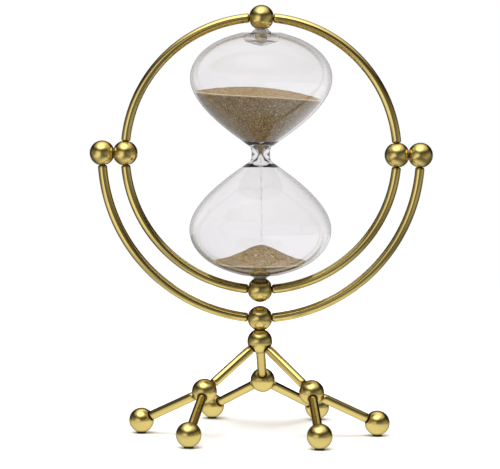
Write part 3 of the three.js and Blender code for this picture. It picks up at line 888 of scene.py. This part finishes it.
def build_camera():
    """At the photograph's viewing angle: slightly from the right and from above, a long lens."""
    data = bpy.data.cameras.new("camera")
    data.lens, data.sensor_width = 194.4, 36
    camera = bpy.data.objects.new("camera", data)
    bpy.context.scene.collection.objects.link(camera)
    camera.location = PIVOT + look_from(2.91, 2.61) * 1.512
    aim = PIVOT + Vector((-5.8, -0.3, -45.2)) * MM
    turn = (aim - camera.location).to_track_quat("-Z", "Y")
    roll = Quaternion((0, 0, 1), math.radians(0.28))
    camera.rotation_mode = "QUATERNION"
    camera.rotation_quaternion = turn @ roll
    bpy.context.scene.camera = camera


def softbox(name, at, towards, size, radiance):
    """A rectangular lamp for matt surfaces, with that brightness over its face. Polished surfaces
    don't show it, they reflect the world."""
    data = bpy.data.lights.new(name, "AREA")
    data.shape = "RECTANGLE"
    data.size, data.size_y = size
    data.energy = radiance * math.pi * size[0] * size[1]
    lamp = bpy.data.objects.new(name, data)
    bpy.context.scene.collection.objects.link(lamp)
    lamp.location = at
    lamp.rotation_mode = "QUATERNION"
    lamp.rotation_quaternion = (Vector(towards) - Vector(at)).to_track_quat("-Z", "Y")
    lamp.visible_camera = lamp.visible_transmission = lamp.visible_glossy = False


def build_world():
    """A room of soft panels: wide overhead, one at the left, dim ones at the right and low behind.
    What is looked at directly is plain white, and so nearly is what is seen through glass."""
    n = Nodes("studio", world=True)
    direction = n.add("TexCoord").outputs["Generated"]
    across, depth, height = n.add("SeparateXYZ", {"Vector": direction}).outputs
    path = n.add("LightPath").outputs

    def panel(azimuth, elevation, rim, core, brightness):
        """A round panel in a direction given like a camera's, dark outside one cosine from its middle
        and full inside the other."""
        sides = {0: direction, 1: look_from(azimuth, elevation)}
        cosine = n.add("VectorMath", sides, operation="DOT_PRODUCT").outputs["Value"]
        return n.smooth(cosine, rim, core, 0.0, brightness)

    ceiling = n.smooth(height, 0.50, 0.92, 0.0, 1.1)
    key = panel(-16, 64, 0.84, 0.98, 1.8)
    ground = n.smooth(height, -0.18, -0.65, 0.0, 1.0)
    ground = n.math("MULTIPLY", ground, n.span(path["Is Diffuse Ray"], 0.25, 0.5))
    left = n.smooth(across, 0.05, -0.35, 0.0, 1.2)
    left = n.math("MULTIPLY", left, n.smooth(across, -0.95, -0.6, 0.2, 1.0))
    right = n.math("ADD", n.smooth(across, 0.0, 0.3, 0.0, 0.2), n.smooth(across, 0.6, 0.95, 0.0, 0.2))
    walls = n.math("ADD", left, right)
    level = n.smooth(height, 0.5, 0.0, 0.0, 1.0)
    level = n.math("MULTIPLY", level, n.smooth(height, -0.5, -0.1, 0.0, 1.0))
    light = 0.02
    for part in (ceiling, key, ground, n.math("MULTIPLY", walls, level)):
        light = n.math("ADD", light, part)

    # The room is dark behind the part, up to the ceiling's middle, apart from two weak panels
    behind = n.smooth(depth, 0.10, 0.60, 0.0, 0.9)
    behind = n.math("MULTIPLY", behind, n.smooth(height, 0.70, 1.0, 1.0, 0.0))
    light = n.math("MULTIPLY", light, n.math("SUBTRACT", 1.0, behind))
    for part in (panel(150, -30, 0.80, 0.97, 0.8), panel(180, 60, 0.80, 0.95, 0.4)):
        light = n.math("ADD", light, part)

    # Matt surfaces get more light, and the glass reflects less of it but also a white backdrop
    light = n.math("MULTIPLY", light, n.span(path["Is Diffuse Ray"], 1.0, 1.7))
    light = n.math("MULTIPLY", light, n.span(path["Is Singular Ray"], 1.0, 0.35))
    backdrop = n.math("MULTIPLY", path["Is Singular Ray"], n.smooth(depth, 0.0, 0.6, 0.0, 0.6))
    light = n.math("ADD", light, backdrop)
    room = n.add("Background", {"Color": (1.0, 0.98, 0.96, 1), "Strength": light})
    white = n.add("Background", {"Color": (1, 1, 1, 1), "Strength": 1.0})
    bounced = n.math("MINIMUM", path["Glossy Depth"], 1.0)
    through = n.math("MULTIPLY", path["Is Transmission Ray"], n.span(bounced, 1.0, 0.7))
    direct = n.math("MAXIMUM", path["Is Camera Ray"], through)
    bpy.context.scene.world = n.surface(n.mix_shaders(direct, room, white))


def build_floor():
    """White matt floor, plain white through glass. In reflections it glows with painted pools of light:
    brass reflects it brightest below the part and at the left in front, and glass brightest at the right."""
    n = Nodes("floor")
    where = n.place()
    path = n.add("LightPath").outputs
    tone = n.mix(n.noise(where, 3, 2), (0.90, 0.90, 0.895), (0.92, 0.92, 0.915))
    matt = n.add("BsdfPrincipled", {"Base Color": tone, "Roughness": 0.9, "Specular IOR Level": 0.1})
    # Painted pools of light, which only reflections see
    away = n.add("VectorMath", {0: where}, operation="LENGTH").outputs["Value"]
    across, depth, _ = n.add("SeparateXYZ", {"Vector": where}).outputs
    left = n.smooth(across, -0.08, -0.25, 0.0, 1.0)
    left = n.math("MULTIPLY", left, n.smooth(across, -0.75, -0.45, 0.25, 1.0))
    sides = n.math("ADD", left, n.smooth(across, 0.15, 0.5, 0.0, 0.35))
    sides = n.math("MULTIPLY", sides, n.smooth(depth, 0.1, -0.25, 0.0, 1.0))
    in_brass = n.math("ADD", n.smooth(away, 0.03, 0.24, 1.05, 0.15), sides)
    in_brass = n.math("MULTIPLY", in_brass, n.span(path["Is Singular Ray"], 1.0, 0.0))
    in_glass = n.smooth(across, -0.10, 0.18, 0.45, 1.1)
    glow = n.math("ADD", in_brass, n.math("MULTIPLY", in_glass, path["Is Singular Ray"]))
    bounced = n.math("MINIMUM", path["Glossy Depth"], 1.0)
    shine = n.math("ADD", n.span(bounced, 1.0, 0.0), n.math("MULTIPLY", glow, bounced))
    plain = n.add("Emission", {"Strength": shine})
    n.surface(n.mix_shaders(n.math("MAXIMUM", bounced, path["Is Transmission Ray"]), matt, plain))
    verts, faces = turned([(0, -2 * MM), (0.9, -2 * MM), (0.9, 0), (0, 0)], 96)
    floor = bpy.data.objects.new("floor", mesh_from("floor", verts, faces))
    bpy.context.scene.collection.objects.link(floor)
    floor.data.materials.append(n.material)
    floor.visible_diffuse = False


build_camera()
build_world()
build_floor()
softbox("overhead", (-0.15, -0.45, 1.5), (-0.05, -0.1, 0.1), (2.0, 1.5), 1.45)
bpy.context.scene.view_settings.view_transform = "Standard"

build_ring()
glass_vessel()
upper_sand()
lower_sand()
sand_stream()
end_fittings()
build_cradle()
build_pivots()
build_tripod()
